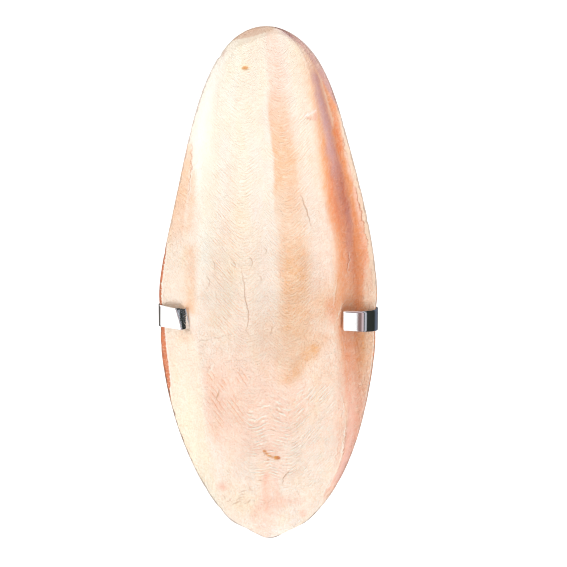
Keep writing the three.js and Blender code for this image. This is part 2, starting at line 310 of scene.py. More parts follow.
# Growth lines. They sag at each furrow and climb away from it to both sides.
growth = {
    "leftFurrow": [(-80, -4.5), (-45, -4.7), (-10, -6.6), (20, -7.4), (70, -7.1)],
    "rightFurrow": [(-80, 5.5), (-45, 6.2), (-10, 6.2), (20, 6.2), (45, 4.6), (70, 3.0)],
    "slope": 1.22,
    "rounding": 2.6,
    "ridgeShare": [(-50, 0.28), (-34, 0.4), (-15, 1.0)],  # how much of the climb the middle ridge keeps
    "pitch": [(-120, 1.1), (-50, 1.06), (-43, 1.1), (-39, 1.4), (-34, 1.8), (-28, 1.5), (-20, 1.2),
              (0, 1.12), (40, 1.1), (63, 1.03), (140, 1.0)],
    "slant": {"direction": 55, "pitch": 1.28},  # the straight lines low on the left
    # where the lines show, as soft limits on X and on Y
    "high": ([(-19, -15), (16, 12)], [(-26, -2), (77, 72)]),
    "low": ([(-7.5, -5), (20, 9)], [(-61, -55), (-28, -35)]),
    "arms": ([(6, 11), (24, 18)], [(-66, -58), (-22, -30)]),
    "slanting": ([(-21.5, -17), (-4.6, -7)], [(-45, -39), (-19, -25)]),
    # how the high lines fade along the bone, and how they change across it: X, reach, gain, and a limit
    # on Y, which leaves out nothing where it is (-90, -85)
    "highFades": [1, (-0.25, 35, 60)],
    "highBase": 0.65,
    "highHills": [(11, 3, 0.2, (-90, -85)), (6, 4, -0.2, (44, 30)), (-13, 4, 0.45, (40, 20)),
                  (-1.2, 2, -0.35, (-90, -85))],
    # how rough the chalk is along the bone, and the smoother parts: share and limits
    "worn": [1.15, (-0.73, -15, 50), (0.115, -50, -60)],
    "smooth": [(0.55, ([(-14, -18)], [(30, 42)])), (0.35, ([(-20.5, -23)], [(10, -4)]))],
    # where the short wrinkles run along the bone and not along the growth lines
    "flanks": [([(7, 14)], [(2, -16)]),
               ([(-5, -12)], [(2, -16)]),
               ([], [(-55, -62)]),
               ([(-18.5, -21)], []),
               ([(14, 18)], [])],
}


# The count of growth lines up to a place
def growthAt(x, y):
    def climb(fromFurrow):
        rounding = growth["rounding"]
        return growth["slope"] * (np.sqrt(fromFurrow ** 2 + rounding ** 2) - rounding)
    left = x - along(growth["leftFurrow"], y)
    right = x - along(growth["rightFurrow"], y)
    climbs = np.minimum(climb(left), climb(right))
    inMiddle = (left > 0) & (right < 0)
    climbs = np.where(inMiddle, climbs * along(growth["ridgeShare"], y), climbs)
    marks = np.linspace(-140, 140, 2801)
    count = np.cumsum((marks[1] - marks[0]) / along(growth["pitch"], marks))
    wobble = 0.34 * lumps(x, y, 0, 5.5, 2, 4.4) + 0.2 * lumps(x, y, 0, 1.9, 2, 6.1)
    return np.interp(y - climbs, marks, count) + wobble


def slantAt(x, y):
    turn = math.radians(growth["slant"]["direction"])
    wobble = 0.16 * lumps(x, y, 0, 4.5, 2, 2.9) + 0.1 * lumps(x, y, 0, 1.6, 2, 1.9)
    return (x * math.sin(turn) + y * math.cos(turn)) / growth["slant"]["pitch"] + wobble


# A value that changes from patch to patch between two limits
def patchy(x, y, limits, size, shift):
    return between(*limits, ease(-0.32, 0.22, lumps(x, y * 0.7, 0, size, 2, shift)))


# How strongly the lines show: near the blunt end, low in the middle, and the straight ones
def highLines(x, y):
    across = growth["highBase"]
    for at, reach, gain, fades in growth["highHills"]:
        across = across + gain * hill(x, at, reach) * ease(*fades, y)
    strength = within(growth["high"], x, y) * stepped(growth["highFades"], y)
    return strength * across * patchy(x, y, (0.45, 1), 4.0, 11.7)


def lowLines(x, y):
    strength = np.maximum(within(growth["low"], x, y), 0.8 * within(growth["arms"], x, y))
    return strength * patchy(x, y, (0.35, 1), 3.2, 21.3)


def slantLines(x, y):
    return within(growth["slanting"], x, y) * patchy(x, y, (0.4, 1), 4.5, 15.1)


def wornAt(x, y):
    smooth = sum(share * within(limits, x, y) for share, limits in growth["smooth"])
    return stepped(growth["worn"], y) * (1 - smooth) * patchy(x, y, (0.93, 1.07), 7.0, 31.5)


def flankAt(x, y):
    return np.max([within(limits, x, y) for limits in growth["flanks"]], axis=0)


# The folded tabs of the strip press into the chalk. Its middle line, seen along Y, starts at a free
# end and is made of Bezier pieces: two handles, end, number of steps.
strip = {
    "width": 6.8,
    "thickness": 0.5,
    "y": -8.0,
    "skew": -0.018,
    # the tabs get narrower by a share towards their free ends
    "taper": {"left": 0.02, "right": 0.11, "from": 33.6, "length": 9.0, "above": 11.0},
    "start": (-24.25, 13.86),
    "line": [
        ([(-24.35, 13.87), (-24.45, 13.89), (-24.55, 13.93)], 2),
        ([(-24.65, 13.97), (-24.75, 14.01), (-24.85, 14.06)], 3),
        ([(-25.5, 14.37), (-26.2, 14.7), (-26.8, 14.98)], 4),
        ([(-27.2, 15.17), (-27.6, 15.05), (-27.9, 14.82)], 6),
        ([(-29.2, 13.75), (-30.6, 12.65), (-31.9, 11.6)], 8),
        ([(-33, 10.7), (-33.3, 10.1), (-33.3, 9.2)], 8),
        ([(-33.3, 8), (-32.6, 7.3), (-31.4, 6.5)], 6),
        ([(-26, 3.3), (-20, 0.25), (-14, 0.25)], 12),
        ([(-5, 0.25), (5, 0.25), (14, 0.25)], 10),
        ([(20, 0.25), (26, 3.1), (31.6, 6.3)], 12),
        ([(32.9, 7.1), (33.5, 8.1), (33.5, 9.4)], 6),
        ([(33.5, 11.75), (31.4, 13.77), (28.65, 13.98)], 26),
        ([(27.6, 14.06), (25.3, 14.02), (22.9, 13.82)], 10),
    ],
    # how far a fold runs aslant, over the strip's half width, at places along the left tab
    "aslant": [(-33.0, 0.0), (-31.9, 0.1), (-27.9, 0.85), (-26.6, 0.85), (-24.2, 0.66)],
    "columns": 12,
    "bevel": 0.1,
    "tabsAbove": 10.5,
    # the chalk under a tab: gap, how far round the tab it is pressed in, how steeply it rises from
    # there, and the share of the half width that counts
    "seat": {"gap": 0.12, "around": 0.25, "steepness": 2.4, "left": 0.98, "right": 0.92},
}


def stripLine():
    line = [strip["start"]]
    for piece, steps in strip["line"]:
        corners = [Vector((x, 0, z)) for x, z in [line[-1]] + piece]
        line += [(p.x, p.z) for p in interpolate_bezier(*corners, steps + 1)][1:]
    return line


def tabSeat(x, y, z):
    seat = strip["seat"]
    for side, sign in (("left", -1), ("right", 1)):
        tab = sorted(p for p in stripLine() if p[1] > strip["tabsAbove"] and p[0] * sign > 0)
        lower = along(tab, x) - strip["thickness"] / 2 - seat["gap"]
        outsideX = np.maximum(tab[0][0] - x, x - tab[-1][0])
        outsideY = np.abs(y - strip["y"] - strip["skew"] * x) - strip["width"] / 2 * seat[side]
        outside = np.maximum(np.maximum(outsideX, outsideY) - seat["around"], 0)
        z = np.minimum(z, lower + seat["steepness"] * outside)
    return z


# How roughly the rim is bitten in along the bone, and single notches. Rows are Y, reach, depth and
# the side they are on.
ragged = {
    "right": [0.12, (0.43, 4, 14), (-0.43, 50, 62)],
    "left": [0.14],
    "tip": (0.5, -66, -72),
    "rougher": [(42.8, 0.9, 0.5, 1), (8, 7, 0.3, -1), (-20, 10, 0.25, -1)],
    "notches": [(71.2, 0.7, 0.35, -1), (-76.6, 0.6, 0.5, -1)],
}


def raggedEdge(x, y):
    def spread(rows):
        return sum(depth * hill(y, at, reach) * (x * side > 0) for at, reach, depth, side in rows)
    bite = np.maximum(lumps(x, y, 0, 2.6, 3, 7.3), 0) ** 1.5
    rough = np.where(x > 0, stepped(ragged["right"], y), stepped(ragged["left"], y))
    rough = rough + spread(ragged["rougher"]) + stepped([0, ragged["tip"]], y)
    return bite * rough + spread(ragged["notches"])


# Where the outermost rim is bare of chalk, its width on either side, and how much lower it is there
rimBand = {
    "left": [(-80, 0.1), (-40, 0.12), (-34, 0.3), (-30, 0.9), (-27, 1.5), (-20, 1.75), (-12, 1.3),
             (-4, 0.75), (5, 0.6), (10, 0.55), (13, 0.4), (17, 0.1), (80, 0.1)],
    "right": [(-80, 0.1), (-60, 0.15), (-40, 0.25), (-25, 0.4), (-12, 0.4), (0, 0.3), (8, 0.2),
              (20, 0.15), (80, 0.1)],
    "step": 0.3,
    # where the right rim is pale and torn
    "pale": [(-14, 0), (-2, 0.5), (8, 0.8), (12, 1), (42, 1), (48, 0.5), (56, 0)],
    # how much the very edge is darkened
    "leftShade": [(-80, 0.7), (-56, 0.7), (-50, 1), (-28, 1), (-22, 0.5), (20, 0.4), (60, 0.5),
                  (80, 0.3)],
    "rightShade": [(-80, 1), (-73, 1), (-70, 0.4), (-30, 0.6), (0, 0.5), (60, 0.6), (80, 0.3)],
}


def tapered(share):
    return np.sin(math.pi * np.clip(share, 0.02, 0.98)) ** 0.6


# For the material: the nearest groove and the nearest ledge, as a distance with its side and a size
def cutsAt(x, y, chalky):
    found = {}
    for kind, rows in (("groove", grooves), ("ledge", ledges)):
        nearest = np.full(x.shape, 1e9)
        distance = np.zeros(x.shape)
        size = np.zeros(x.shape)
        for route, height, *_ in rows:
            gap, side, share = nearRoute(route, x, y)
            nearer = gap < nearest
            nearest = np.where(nearer, gap, nearest)
            distance = np.where(nearer, np.clip(gap, 0, 3) * side, distance)
            size = np.where(nearer, height * tapered(share) * chalky * (gap < 2.5), size)
        found[kind] = distance
        found[kind + "Size"] = size
    return found


def chipAt(x, y):
    return ease(0, 0.4, rightOf(relief["chip"]["corners"], x, y))


def reliefAt(x, y, z, rimIn):
    rise = np.zeros(x.shape)
    for size, height in relief["lumps"]:
        rise += height * lumps(x, y, z, size, 2, 3.1)
    waves = relief["waves"]
    strength = waves["high"] * highLines(x, y) + waves["low"] * lowLines(x, y)
    rise += strength * np.sin(2 * math.pi * growthAt(x, y))
    rise += waves["slant"] * slantLines(x, y) * np.sin(2 * math.pi * slantAt(x, y))
    soft = relief["softGroove"]
    for route, depth in grooves:
        gap, _, share = nearRoute(route, x, y)
        rise -= soft["share"] * depth * tapered(share) * hill(gap, 0, soft["reach"])
    soft = relief["softLedge"]
    for route, height, reach in ledges:
        gap, side, share = nearRoute(route, x, y)
        ends = ease(0, 0.12, share) * ease(1, 0.88, share)
        step = ease(-soft["width"], soft["width"], gap * side)
        rise += soft["share"] * height * ends * step * np.exp(-gap / reach)
    for route, width, height in ridges:
        gap, _, share = nearRoute(route, x, y)
        rise += height * ease(0, 0.1, share) * ease(1, 0.8, share) * hill(gap, 0, width)
    wobble = 0.25 * lumps(x, y, z, 0.9, 1, 5.0)
    for atX, atY, halfX, halfY, depth in pits:
        out = np.hypot((x - atX) / halfX, (y - atY) / halfY) + wobble * (atY < 60)
        rise -= depth * ease(1.15, 0.45, out)
    rise -= relief["chip"]["depth"] * chipAt(x, y)
    band = np.where(x < 0, along(rimBand["left"], y), along(rimBand["right"], y))
    torn = band + 0.35 * np.minimum(band, 1) * lumps(x, y, z, 1.6, 2, 2.2)
    rise -= rimBand["step"] * ease(torn + 0.18, torn - 0.18, rimIn) * ease(0.15, 0.6, band)
    return rise * ease(0, 0.5, rimIn)


# Where a place on the flat sheet lies on the bone: u runs round the bone, v along it
def sheetPlace(u, v):
    chalkyShare = bone["chalkyShare"]
    y = np.sign(v) * halfLength * (1 - (1 - 2 * np.abs(v)) ** bone["rowPower"])
    chalky = u <= chalkyShare + 1e-6
    t = np.where(chalky, u / chalkyShare, (u - chalkyShare) / (1 - chalkyShare))
    q = between(np.cos(math.pi * t), 1 - 2 * t, bone["columnSpread"]) * np.where(chalky, -1, 1)
    return q, y, chalky


def bonePlaces(u, v):
    q, y, chalky = sheetPlace(u, v)
    side = np.sign(q)
    halfWidth = halfWidthAt(y)
    bitten = np.minimum(raggedEdge(middleAt(y) + side * halfWidth, y), halfWidth)
    x = middleAt(y) + q * halfWidth - side * np.abs(q) ** 10 * bitten
    marks = np.linspace(-halfLength, halfLength, 801)
    slope = np.gradient(halfWidthAt(marks), marks)
    lean = np.sqrt(1 + np.interp(y, marks, slope) ** 2)
    toSide = halfWidth * (1 - np.abs(q))
    toEnd = halfLength - np.abs(y)
    rimIn = np.minimum(toSide / lean, toEnd)
    fromRim = np.clip(np.minimum(toSide, toEnd) / bone["rimHalf"], 0, 1)
    top = np.where(chalky, chalkyAt(q, y), dorsalAt(q, y))
    z = between(rimAt(y), top, np.sqrt(1 - (1 - fromRim) ** 2))
    return x, y, z, q, rimIn, chalky


def dorsalRelief(x, y, z, q, rimIn):
    arcs = bone["arcs"]
    rise = arcs["height"] * np.sin(2 * math.pi * (y + arcs["sweep"] * x * x) / arcs["pitch"])
    for at, reach, height in bone["ribs"]:
        rise = rise - height * hill(q, at, reach) * ease(*bone["ribsGrow"], y)
    size, height = bone["pimples"]
    rise = rise + height * np.abs(lumps(x, y, z, size, 2, 9.4))
    size, height = bone["swells"]
    rise = rise + height * lumps(x, y, z, size, 2, 1.2)
    return rise * ease(0.3, 3, rimIn)


def meshFrom(shape, name):
    mesh = bpy.data.meshes.new(name)
    shape.to_mesh(mesh)
    shape.free()
    return mesh


def addObject(name, data):
    made = bpy.data.objects.new(name, data)
    bpy.context.scene.collection.objects.link(made)
    return made


def boneMesh():
    sheet = bmesh.new()
    bmesh.ops.create_grid(sheet, x_segments=bone["columns"], y_segments=bone["rows"], size=0.5)
    bmesh.ops.translate(sheet, verts=sheet.verts, vec=(0.5, 0, 0))

    def cells():
        return (np.array([vert.co[axis] for vert in sheet.verts]) for axis in (0, 1))

    # the chalky side gets smaller faces, and the striped middle of it smaller ones again
    limit = bone["chalkyShare"] + 1e-4
    finer = [e for e in sheet.edges if max(vert.co.x for vert in e.verts) < limit]
    bmesh.ops.subdivide_edges(sheet, edges=finer, cuts=1, use_grid_fill=True)
    q, y, chalky = sheetPlace(*cells())
    x = q * halfWidthAt(y)
    part = bone["stripedPart"]
    striped = chalky & (x > part["x"][0]) & (x < part["x"][1]) & (y > part["y"][0]) & (y < part["y"][1])
    sheet.verts.index_update()
    finer = [e for e in sheet.edges if all(striped[vert.index] for vert in e.verts)]
    bmesh.ops.subdivide_edges(sheet, edges=finer, cuts=1, use_grid_fill=True)

    # the sheet is wrapped round into the bone, and its seam and ends are closed
    layers = [sheet.verts.layers.float.new(name) for name in ("q", "rimIn", "chalky")]
    x, y, z, q, rimIn, chalky = bonePlaces(*cells())
    top = tabSeat(x, y, z + reliefAt(x, y, z, rimIn))
    z = np.where(chalky, top, z + dorsalRelief(x, y, z, q, rimIn))
    dent = bone["strapDent"]
    z = np.maximum(z, np.maximum(dent["depth"] * hill(y, strip["y"], dent["reach"]), 0.02))
    for vert, place, values in zip(sheet.verts, zip(x, y, z), zip(q, rimIn, chalky)):
        vert.co = Vector(place) * mm
        for layer, value in zip(layers, values):
            vert[layer] = float(value)
    bmesh.ops.remove_doubles(sheet, verts=sheet.verts, dist=0.002 * mm)
    bmesh.ops.recalc_face_normals(sheet, faces=sheet.faces)
    mesh = meshFrom(sheet, "chalkyBone")
    mesh.shade_smooth()
    return mesh


# Bands of tint run along the bone. Their rows are the tint, a left and a right line as stations of
# Y and X, how soft the two lines are, and stations of Y and strength.
furrowLeft = [(-30, 0), (-10, 3), (0, 3), (15, 2.6), (40, 1.6), (50, 1), (60, 0.2), (80, -0.5)]
furrowRight = [(-30, 8), (-10, 14), (0, 12.5), (15, 12), (30, 10), (40, 9), (50, 7.5), (62, 6), (80, 3)]
slopeLeft = [(-50, 24.2), (-36, 24.3), (-18, 22), (-8, 20.4), (0, 20), (10, 20.4), (20, 19.6),
             (25, 18.2), (35, 16.2), (45, 14.9), (55, 13.4), (65, 11), (72, 9.6), (77, 8)]
valleySides = [(0, 23.6, 27), (10, 23.6, 26.6), (20, 22.2, 25.6), (25, 21.4, 24.9), (30, 20.6, 23.8),
               (35, 19.6, 22.7), (40, 18.7, 21.4), (45, 17.8, 20.2), (50, 16.8, 19), (55, 15.4, 17.6),
               (60, 14.3, 16.6), (66, 13.3, 15.2), (71, 12, 13.6)]  # Y, left, right
valleyLeft = [(row[0], row[1]) for row in valleySides]
valleyRight = [(row[0], row[2]) for row in valleySides]
redSides = [(0, 26.6, 29), (10, 26.4, 30.3), (20, 26, 28.6), (30, 24.3, 25.4), (35, 22.9, 24.3),
            (40, 21.7, 23.2), (45, 20.6, 22.3), (50, 19.6, 21.5), (55, 18.6, 20.6), (60, 17.4, 19.4),
            (66, 15.6, 17.4)]  # Y, left, right
redLeft = [(row[0], row[1]) for row in redSides]
redRight = [(row[0], row[2]) for row in redSides]
leftOut = [(0, -40), (1, -40)]
rightOut = [(0, 40), (1, 40)]


def shifted(line, by):
    return [(y, x + by) for y, x in line]


slopeRight = [(-30, 30), (8, 29), (14, 28.5), (20, 28)] + shifted(redRight[3:], 0.4)

bands = [
    ("ivory", leftOut, [(-62, -15.5), (-55, -16.5), (-45, -19), (-30, -20), (-15, -21.5), (-8, -24)],
     (1, 1.2), [(-72, 0), (-62, 0.5), (-50, 0.8), (-15, 0.6), (-10, 0.5), (-4, 0.3), (12, 0.3), (20, 0)]),
    ("ivory", [(15, -21), (30, -20), (50, -18.5), (70, -13)],
     [(15, -15), (30, -15.5), (50, -13.5), (70, -9)], (1.5, 1.5), [(15, 0), (25, 0.4), (60, 0.3)]),
    ("ivory", [(0, -13), (70, -9)], [(0, -2), (70, -0.5)], (2, 1), [(0, 0.1), (20, 0.4)]),
    ("ivory", [(40, 10), (55, 9), (65, 7), (76, 5.5)], [(40, 15), (55, 13), (65, 11.5), (76, 9)],
     (1.5, 1), [(25, 0), (40, 0.3), (55, 0.5), (70, 0.6), (78, 0.5)]),
    ("peach", [(-80, -14), (-60, -16), (-45, -19), (-30, -20), (-12, -22), (0, -21), (15, -16),
               (30, -12), (80, -6)],
     [(-80, 14), (-60, 20), (-45, 24), (-30, 25), (0, 24), (30, 18), (60, 13), (80, 8)], (2.5, 2),
     [(-80, 0.35), (-65, 0.5), (-52, 0.6), (-40, 0.8), (-22, 0.8), (-10, 0.6), (12, 0.5), (25, 0.4),
      (50, 0.35), (80, 0.25)]),
    ("peach", [(-35, 6), (-20, 14), (0, 12), (30, 11), (50, 9)],
     [(-50, 24), (-20, 22), (0, 22), (30, 18), (50, 14)], (2, 1.5),
     [(-60, 0.1), (-25, 0.55), (0, 0.4), (30, 0.5), (55, 0)]),
    ("peach", leftOut, [(-5, -22), (10, -21.5), (25, -20.5), (40, -22)], (1, 1.2),
     [(-10, 0), (-5, 0.5), (12, 0.45), (20, 0.7), (40, 0.5), (44, 0.35), (46, 0.15), (60, 0.1), (75, 0)]),
    ("peach", leftOut, [(-30, -21), (-8, -22)], (1, 1.2),
     [(-60, 0.1), (-45, 0.35), (-28, 0.5), (-18, 0.65), (-8, 0.6), (-5, 0.2), (0, 0)]),
    ("peach", shifted(slopeLeft, -3), shifted(slopeLeft, 1), (1, 1),
     [(-60, 0.3), (-30, 0.4), (0, 0.6), (30, 0.6), (66, 0.4), (76, 0.1)]),
    ("rose", furrowLeft, furrowRight, (0.9, 2.5),
     [(34, 0), (42, 0.3), (60, 0.58), (70, 0.52), (79, 0.35)]),
    ("rose", [(-50, -14), (-40, -19), (-25, -19.5), (-18, -17)], [(-50, 3), (-35, 12), (-22, 10)],
     (1.2, 4), [(-55, 0), (-48, 0.3), (-35, 0.4), (-25, 0.35), (-14, 0)]),
    ("rose", [(-44, -18.6), (-20, -19)], [(-44, -14), (-20, -13)], (0.8, 2.5),
     [(-48, 0), (-42, 0.15), (-26, 0.25), (-18, 0)]),
    ("rose", [(-80, -6), (-72, -4), (-66, -2.2), (-58, -1.4), (-54, -0.8)],
     [(-72, 3), (-68, 5), (-66, 7), (-64, 3), (-60, 1), (-54, 0.2)], (2.6, 2.2),
     [(-80, 0.25), (-74, 0.4), (-66, 0.5), (-58, 0.4), (-53, 0)]),
    ("rose", [(-64, 17), (-57, 21.3), (-52, 23), (-44, 24), (-37, 24.6), (-20, 23)], rightOut, (0.4, 1),
     [(-70, 0), (-63, 0.9), (-50, 0.9), (-36, 0.8), (-28, 0.6), (-12, 0)]),
    ("rose", redLeft, rightOut, (0.6, 1),
     [(-10, 0.3), (4, 0.5), (16, 0.95), (35, 0.95), (48, 0.3), (66, 0)]),
    ("rose", [(-6, 13), (20, 12)], [(-6, 19), (20, 19)], (2, 2),
     [(-15, 0), (-5, 0.2), (12, 0.2), (22, 0)]),
    ("apricot", furrowLeft, furrowRight, (0.5, 2.5),
     [(22, 0), (30, 0.5), (35, 0.65), (45, 0.6), (55, 0.4), (62, 0)]),
    ("apricot", [(-30, 1), (-10, 4), (0, 4), (15, 3.6), (30, 3)], furrowRight, (2, 2.5),
     [(-26, 0), (-12, 0.35), (-5, 0.6), (5, 0.75), (12, 0.7), (26, 0.35), (34, 0)]),
    ("apricot", slopeLeft, slopeRight, (1.8, 0.8), [(-30, 0), (-18, 0.5), (-8, 0.6), (10, 0.85),
                                                    (25, 0.95), (40, 0.9), (55, 0.75), (66, 0.5),
                                                    (76, 0.2)]),
    ("apricot", leftOut, [(15, -26), (40, -23)], (1, 0.5),
     [(14, 0), (20, 0.35), (30, 0.6), (42, 0.4), (45, 0.3), (45.6, 0)]),
    ("apricot", [(-10, 27), (8, 28)], rightOut, (2, 1),
     [(-34, 0), (-24, 0.45), (-16, 0.6), (-10, 0.4), (20, 0.4), (30, 0.2), (36, 0)]),
    ("ember", [(-5, 21), (5, 21.3), (15, 20.8), (22, 19.6), (27, 18.6), (35, 17.6), (45, 16.2),
               (55, 14.4), (65, 12.4)], valleyRight, (1.8, 0.8),
     [(-15, 0.25), (0, 0.4), (15, 0.6), (25, 0.85), (33, 0.8), (40, 0.45), (50, 0.2), (65, 0.15),
      (72, 0)]),
    ("ember", redLeft, redRight, (0.8, 1),
     [(-12, 0.25), (0, 0.5), (10, 0.6), (35, 0.5), (45, 0.8), (52, 0.8), (66, 0.2), (70, 0)]),
    ("ember", [(-34, 23.8), (-20, 22.5), (-13, 22)], [(-34, 25), (-28, 26), (-20, 27), (-13, 26)],
     (0.6, 1.5), [(-42, 0), (-30, 0.3), (-20, 0.4), (-10, 0.4), (-6, 0)]),
    # umber and mauve in the valley beyond the steep right side: partly the chalk's colour, partly painted
    # shade of the valley
    ("umber", valleyLeft, valleyRight, (1.3, 0.9),
     [(-10, 0), (5, 0.1), (12, 0.18), (20, 0.4), (27, 0.75), (36, 0.85), (42, 0.4), (48, 0.1), (54, 0)]),
    ("mauve", valleyLeft, valleyRight, (1, 0.7),
     [(33, 0), (40, 0.6), (45, 0.85), (56, 0.9), (62, 0.85), (65.5, 0.8), (67, 0.3), (72, 0)]),
    ("mauve", [(6, 24.6), (15, 24), (22, 23.8), (27, 23.4)], [(6, 26.4), (22, 26), (27, 25)],
     (0.7, 0.6), [(2, 0), (16, 0.35), (24, 0.45), (29, 0)]),
    ("mauve", [(-60, 21), (-50, 24), (-30, 24.5)], [(-60, 24), (-50, 27), (-30, 28)], (1, 2),
     [(-66, 0), (-58, 0.45), (-48, 0.25), (-28, 0)]),
]

# Spots of each tint: X, Y, half sizes, turn in degrees, strength
spots = {
    "ivory": [(9, -73.5, 6, 2.2, 15, 0.9), (12.5, -62, 5, 5.5, 0, 0.4), (-11, -66, 6, 7, 0, 0.6),
              (-12, 9, 6, 13, 0, 0.5), (-14, -8, 5, 6, 0, 0.3)],
    "frost": [(8, -73.5, 4, 1.6, 15, 0.6), (4.5, -76.5, 4, 2, 20, 0.5), (-3, 27, 3.2, 6, 0, 0.6),
              (-4, 42, 3, 6, 0, 0.35)],
    "peach": [(-14, 38, 5, 20, 0, 0.3)],
    "rose": [(7, -66, 5, 2, 0, 0.3), (-14.4, -61.5, 2, 1.4, 30, 0.65), (11.1, -70.5, 1.2, 1.6, 0, 0.7),
             (-2.5, -66, 2, 2, 0, 0.3), (2, -55, 6, 4, 0, 0.3), (0.8, -48.6, 4.2, 2.6, -20, 0.5)],
    "apricot": [(13, -17, 3.4, 2, 50, 0.75), (5, -12, 11, 9, 0, 0.3), (17, -2, 4, 6, 0, 0.5),
                (17, -24, 4, 5, 0, 0.2), (8, -23, 4, 2.4, 50, 0.35), (-24.5, -4.2, 2.4, 1.2, 0, 0.4),
                (-25, -13, 2.2, 2, 0, 0.3)],
    "ember": [(19.6, -3.5, 2.2, 4, 0, 0.45)],
    "straw": [(-6.4, 68.1, 1.7, 1.1, 0, 0.3)],
    "gold": [(-6.4, 68, 1.05, 0.62, 0, 0.85), (-0.9, -48.9, 0.8, 0.65, -35, 0.85),
             (0.4, -50, 1.1, 0.5, -40, 0.8), (2.8, -50.9, 1, 0.8, 0, 0.9),
             (1.4, -50.7, 0.7, 0.4, 0, 0.6), (0.1, -51.7, 0.4, 0.5, 0, 0.4)],
    "rust": [(3.3, -51, 0.4, 0.5, 0, 0.8), (-0.9, -48.8, 0.4, 0.4, -40, 0.7)],
}

# Streaks of each tint: route, half width, strength
streaks = {
    "apricot": [
        ([(19, -10), (13, -17), (7, -24), (5, -28)], 2.2, 0.4),
        ([(-22.3, 38), (-23, 28), (-24, 18)], 1.1, 0.35),
        ([(-23, 16), (-23.2, 5), (-23.7, -7)], 2.1, 0.45),
        ([(23.2, 43.2), (25.2, 42.6)], 0.4, 0.8),
    ],
    "rose": [
        ([(-0.7, -55), (-0.9, -61), (-0.4, -66), (-0.6, -71)], 1, 0.8),
        ([(2.2, -57), (2.6, -62), (4, -66)], 0.9, 0.5),
        ([(-2, -66), (-4, -70), (-4.6, -74)], 1.5, 0.45),
        ([(22.8, 36), (24.2, 30), (26.2, 22), (27.5, 14)], 0.8, 0.3),
    ],
    "rust": [
        ([(15.8, 66.2), (16.9, 62.6), (18.2, 58), (19.6, 52.8), (20.6, 48.6), (21.6, 44.6), (22.4, 41)],
         0.3, 0.3),
    ],
    # painted shade along the upper right outline, where the end face turns away
    "mauve": [
        ([(3, 78.9), (5.2, 78.2), (9.6, 75.2), (13, 71.2), (15.4, 68.2), (17.5, 64.2), (18.8, 61)], 0.6,
         0.8),
    ],
    # painted shade beside the upper right ridge, below the low right ledge and in the upper left notch
    "umber": [
        ([(15.4, 67.6), (17.6, 63.6), (19, 60.6), (20.2, 57)], 0.4, 0.5),
        ([(24.8, -34), (24.4, -40), (23.9, -46), (23.1, -51), (22.1, -55), (20.9, -58.5)], 0.4, 0.3),
        ([(-13.5, 70.8), (-13.1, 72), (-12.4, 73)], 0.25, 0.4),
    ],
    # painted highlights along the upper right ridge and the chip's upper edge
    "frost": [
        ([(15.1, 66.6), (16.2, 63), (17.5, 58.3), (18.9, 53), (19.8, 49.4)], 0.24, 0.5),
        ([(10.4, 53.8), (12.6, 54.7), (15, 55.6)], 0.3, 0.9),
    ],
    # painted highlight along the top of the low right ledge
    "ivory": [
        ([(24.1, -34), (23.7, -40), (23.2, -46), (22.4, -51), (21.4, -55), (20.2, -58.5)], 0.6, 0.5),
    ],
}


def tintsAt(x, y, rimIn, chalky):
    clear = {name: np.ones(x.shape) for name, _ in chalk["tints"]}
    trueX = x
    x = x + 0.55 * lumps(x, y * 0.4, 0, 6.0, 2, 14.2) + 0.4 * lumps(x, y * 0.6, 0, 1.9, 2, 17.7)
    for name, left, right, (softLeft, softRight), strength in bands:
        fromLeft = ease(-softLeft, softLeft, x - along(left, y))
        fromRight = ease(softRight, -softRight, x - along(right, y))
        clear[name] *= 1 - fromLeft * fromRight * along(strength, y)
    for name, rows in spots.items():
        power = 4 if name == "gold" else 1.5
        for atX, atY, halfX, halfY, turn, strength in rows:
            turned = math.radians(turn)
            across = (x - atX) * math.cos(turned) + (y - atY) * math.sin(turned)
            up = (y - atY) * math.cos(turned) - (x - atX) * math.sin(turned)
            out = (across / halfX) ** 2 + (up / halfY) ** 2
            clear[name] *= 1 - strength * np.exp(-out ** power)
    for name, rows in streaks.items():
        for route, width, strength in rows:
            gap, _, share = nearRoute(route, between(trueX, x, 0.3), y)
            ends = ease(0, 0.1, share) * ease(1, 0.9, share)
            clear[name] *= 1 - strength * hill(gap, 0, width) * ends
    tints = {name: 1 - value for name, value in clear.items()}

    # the worn end face: tan on the left and mauve on the right, partly painted shade of the steep face
    x = trueX
    face = rightOf(bone["wornCorners"], x, y)
    aboveLine = y - along(bone["tanLine"], x)
    tints["tan"] = ease(-0.1, 0.1, aboveLine) * ease(-10.8, -10.2, x) * ease(2.4, 1.4, x)
    tints["mauve"] = np.maximum(tints["mauve"], 0.7 * ease(-0.9, -1.6, face) * ease(1.5, 3, x))

    chip = chipAt(x, y)
    for name in ("apricot", "ember"):
        tints[name] = tints[name] * (1 - 0.8 * chip)
    for name, share in (("rose", 0.85), ("umber", 0.12)):
        tints[name] = np.maximum(tints[name], share * chip)

    # the hard back of the bone, with rusty rims
    tints = {name: value * chalky for name, value in tints.items()}
    tints["shell"] = 1 - chalky
    tints["rust"] = np.maximum(tints["rust"], 0.6 * (1 - chalky) * ease(4.5, 0.5, rimIn))
    return tints


def paint(red, green, blue):
    def linear(value):
        value = value / 255
        return value / 12.92 if value <= 0.04045 else ((value + 0.055) / 1.055) ** 2.4
    return (linear(red), linear(green), linear(blue), 1)


